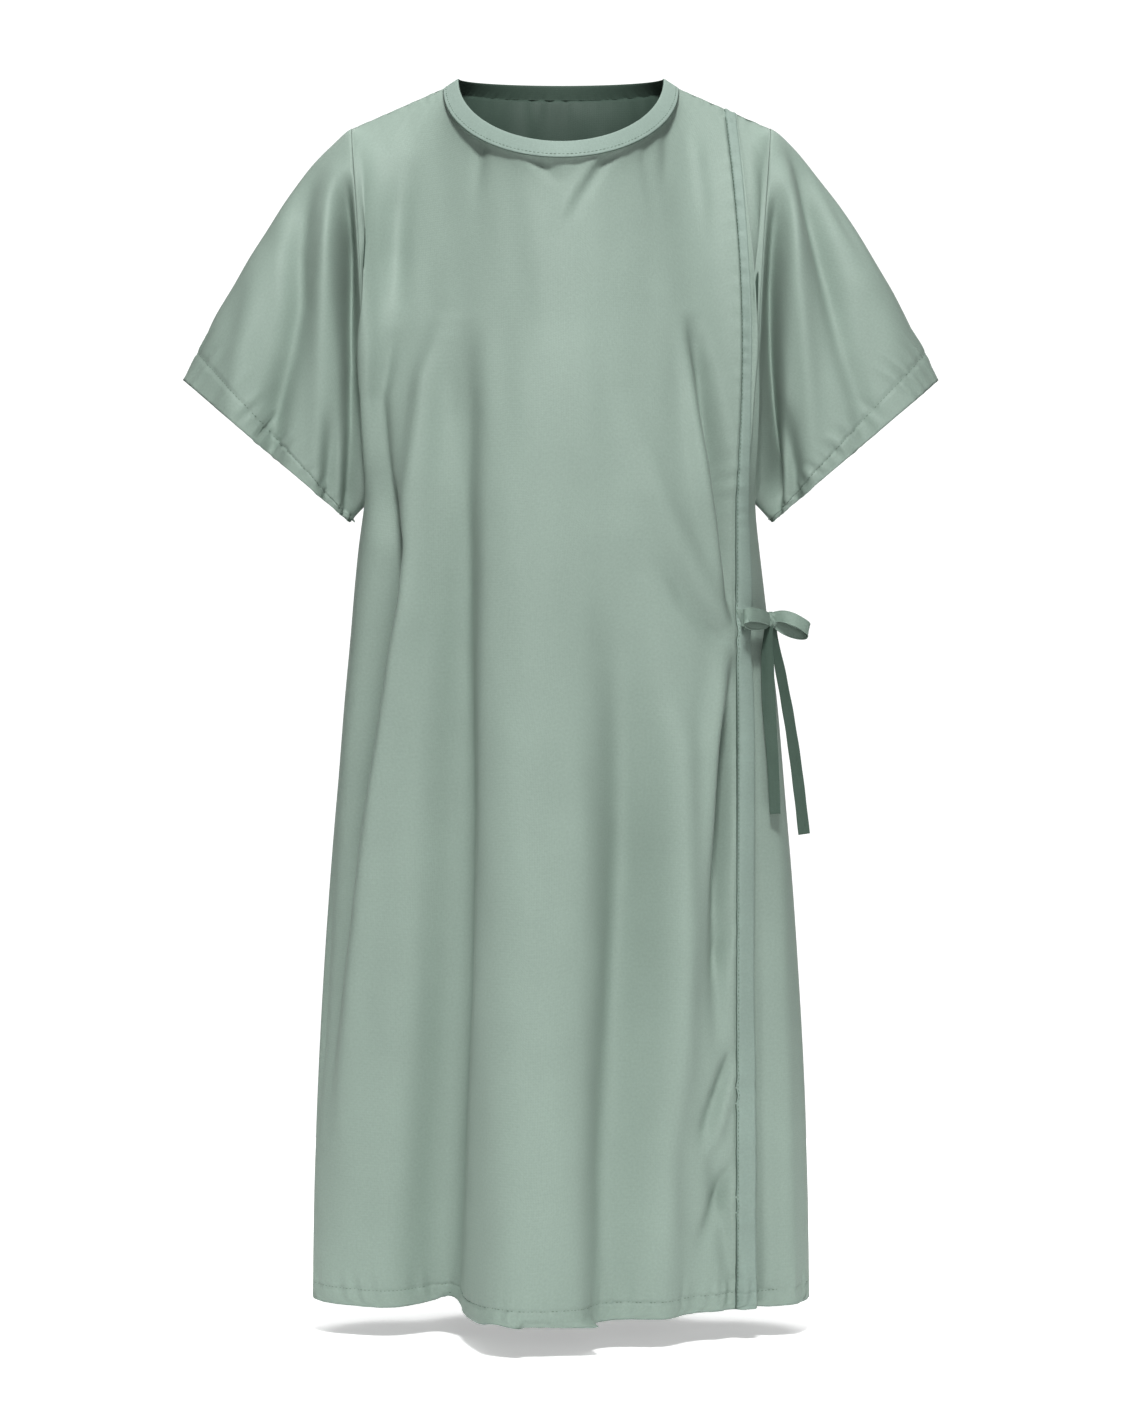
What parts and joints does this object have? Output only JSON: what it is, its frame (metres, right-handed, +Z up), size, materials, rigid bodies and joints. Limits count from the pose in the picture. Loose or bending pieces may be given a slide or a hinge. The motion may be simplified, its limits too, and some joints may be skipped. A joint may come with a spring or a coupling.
{
  "type": "patient gown",
  "caption": "Knee-length short-sleeved wrap gown with a round bound neck, a side-wrapping front with a stitched edge band and a self-fabric tie bow at the left waist.",
  "frame": {"origin": "midway between the two shoulder high points beside the neck, where the gown rests on the wearer", "axes": "+Z up along the wearer's body, the front of the gown faces -Y, +X to the wearer's left"},
  "size_m": [0.6808, 0.2506, 1.1042],
  "materials": {
    "gown_cloth": "plain-woven sage green polyester cotton, soft low sheen",
    "edge_cloth": "the same cloth, turned and stitched, slightly puckered",
    "tie_cloth": "the same cloth, folded and stitched into a flat tape"
  },
  "bodies": {
    "gown_body": {"front_panel": "gown_cloth", "underlap_panel": "gown_cloth", "back_panel": "gown_cloth", "front_hem": "edge_cloth", "underlap_hem": "edge_cloth", "back_hem": "edge_cloth", "front_edge_band_upper": "edge_cloth", "underlap_edge_band": "edge_cloth", "neck_binding": "edge_cloth", "right_side_seam": "gown_cloth", "left_side_seam": "gown_cloth", "right_shoulder_seam": "gown_cloth", "left_shoulder_seam": "gown_cloth", "tie_tack": "tie_cloth", "tie_knot": "tie_cloth", "band_tie_stub": "tie_cloth", "side_tie_stub": "tie_cloth", "near_loop": "tie_cloth", "far_loop": "tie_cloth"},
    "right_sleeve_body": {"right_sleeve": "gown_cloth", "right_sleeve_hem": "edge_cloth"},
    "left_sleeve_body": {"left_sleeve": "gown_cloth", "left_sleeve_hem": "edge_cloth"},
    "front_flap_body": {"front_flap": "gown_cloth", "front_flap_hem": "edge_cloth", "front_edge_band_lower": "edge_cloth"},
    "near_tail_body": {"near_tail": "tie_cloth"},
    "far_tail_body": {"far_tail": "tie_cloth"}
  },
  "joints": [
    {"name": "right_sleeve_raise", "type": "hinge", "parent": "gown_body", "child": "right_sleeve_body", "pos_m": [-0.188, 0, -0.045], "axis": [0, 1, 0], "range_deg": [0, 20]},
    {"name": "left_sleeve_raise", "type": "hinge", "parent": "gown_body", "child": "left_sleeve_body", "pos_m": [0.188, 0, -0.045], "axis": [0, -1, 0], "range_deg": [0, 20]},
    {"name": "front_flap_open", "type": "hinge", "parent": "gown_body", "child": "front_flap_body", "pos_m": [0.168, -0.084, -0.5], "axis": [-0.2965, -0.1278, -0.9464], "range_deg": [0, 60]},
    {"name": "near_tail_swing", "type": "hinge", "parent": "gown_body", "child": "near_tail_body", "pos_m": [0.1843, -0.051, -0.4937], "axis": [0, -1, 0], "range_deg": [0, 20]},
    {"name": "far_tail_swing", "type": "hinge", "parent": "gown_body", "child": "far_tail_body", "pos_m": [0.1873, -0.0462, -0.493], "axis": [0, -1, 0], "range_deg": [0, 35]}
  ]
}
